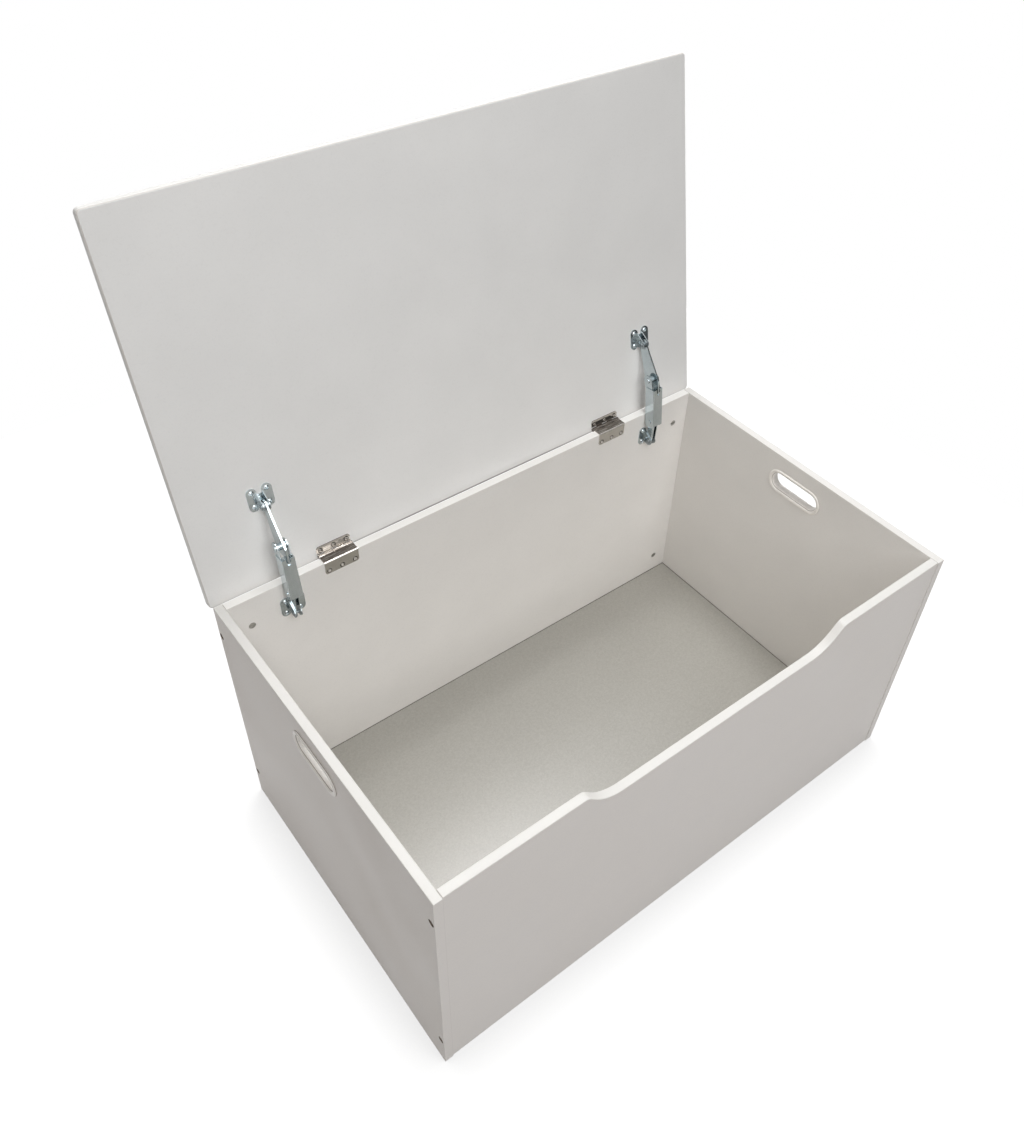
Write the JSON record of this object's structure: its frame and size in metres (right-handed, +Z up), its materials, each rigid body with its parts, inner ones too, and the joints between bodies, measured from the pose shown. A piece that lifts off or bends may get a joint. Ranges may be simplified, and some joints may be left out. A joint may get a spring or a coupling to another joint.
{
  "type": "toy box",
  "caption": "White wooden toy box with a dipped front rim, finger slots in its sides and a hinged lid held open by folding spring supports.",
  "frame": {"origin": "on the ground, in the middle of the back panel's bottom edge", "axes": "+X to the right seen from the front, +Y to the back, +Z up; the lid stands open as pictured"},
  "size_m": [0.835, 0.6103, 0.8915],
  "materials": {
    "white_board": "satin white lacquer",
    "lid_board": "satin white lacquer",
    "floor_board": "fine speckled white laminate",
    "liner_plastic": "smooth white plastic",
    "nickel": "nickel plated",
    "zinc": "bright zinc plated",
    "spring_steel": "oiled spring wire",
    "dark_zinc": "dull zinc plated"
  },
  "bodies": {
    "box": {"left_side_panel": "white_board", "right_side_panel": "white_board", "left_slot_liner_outer": "liner_plastic", "left_slot_liner_inner": "liner_plastic", "right_slot_liner_outer": "liner_plastic", "right_slot_liner_inner": "liner_plastic", "front_panel": "white_board", "back_panel": "white_board", "floor_panel": "floor_board", "corner_bolts": "dark_zinc", "barrel_nuts": "dark_zinc", "left_hinge_box_leaf": "nickel", "right_hinge_box_leaf": "nickel", "left_hinge_pin": "nickel", "right_hinge_pin": "nickel", "hinge_box_screws": "nickel", "left_base_bracket": "zinc", "right_base_bracket": "zinc", "left_base_pin": "zinc", "right_base_pin": "zinc", "base_bracket_screws": "zinc"},
    "lid": {"lid_panel": "lid_board", "left_hinge_lid_leaf": "nickel", "right_hinge_lid_leaf": "nickel", "hinge_lid_screws": "nickel", "left_lid_bracket": "zinc", "right_lid_bracket": "zinc", "left_lid_pin": "zinc", "right_lid_pin": "zinc", "lid_bracket_screws": "zinc"},
    "left_link": {"left_housing": "zinc", "left_inner_channel": "zinc", "left_housing_foot": "zinc", "left_foot_rivet": "zinc", "left_spring": "spring_steel", "left_spring_follower": "zinc", "left_elbow_rivet": "zinc"},
    "left_arm": {"left_arm": "zinc"},
    "right_link": {"right_housing": "zinc", "right_inner_channel": "zinc", "right_housing_foot": "zinc", "right_foot_rivet": "zinc", "right_spring": "spring_steel", "right_spring_follower": "zinc", "right_elbow_rivet": "zinc"},
    "right_arm": {"right_arm": "zinc"}
  },
  "joints": [
    {"name": "lid_hinge", "type": "hinge", "parent": "box", "child": "lid", "pos_m": [0, 0.0093, 0.4015], "axis": [1, 0, 0], "range_deg": [0, 101]},
    {"name": "left_housing_pivot", "type": "hinge", "parent": "box", "child": "left_link", "pos_m": [-0.316, -0.01625, 0.3515], "axis": [1, 0, 0], "range_deg": [0, 101]},
    {"name": "left_elbow_pivot", "type": "hinge", "parent": "left_link", "child": "left_arm", "pos_m": [-0.316, -0.00208, 0.46081], "axis": [1, 0, 0], "range_deg": [-101, 0]},
    {"name": "right_housing_pivot", "type": "hinge", "parent": "box", "child": "right_link", "pos_m": [0.316, -0.01625, 0.3515], "axis": [1, 0, 0], "range_deg": [0, 101]},
    {"name": "right_elbow_pivot", "type": "hinge", "parent": "right_link", "child": "right_arm", "pos_m": [0.316, -0.00208, 0.46081], "axis": [1, 0, 0], "range_deg": [-101, 0]}
  ],
  "couplings": [
    {"joint": "left_housing_pivot", "follows": "lid_hinge", "ratio": 1},
    {"joint": "left_elbow_pivot", "follows": "lid_hinge", "ratio": -1},
    {"joint": "right_housing_pivot", "follows": "lid_hinge", "ratio": 1},
    {"joint": "right_elbow_pivot", "follows": "lid_hinge", "ratio": -1}
  ]
}
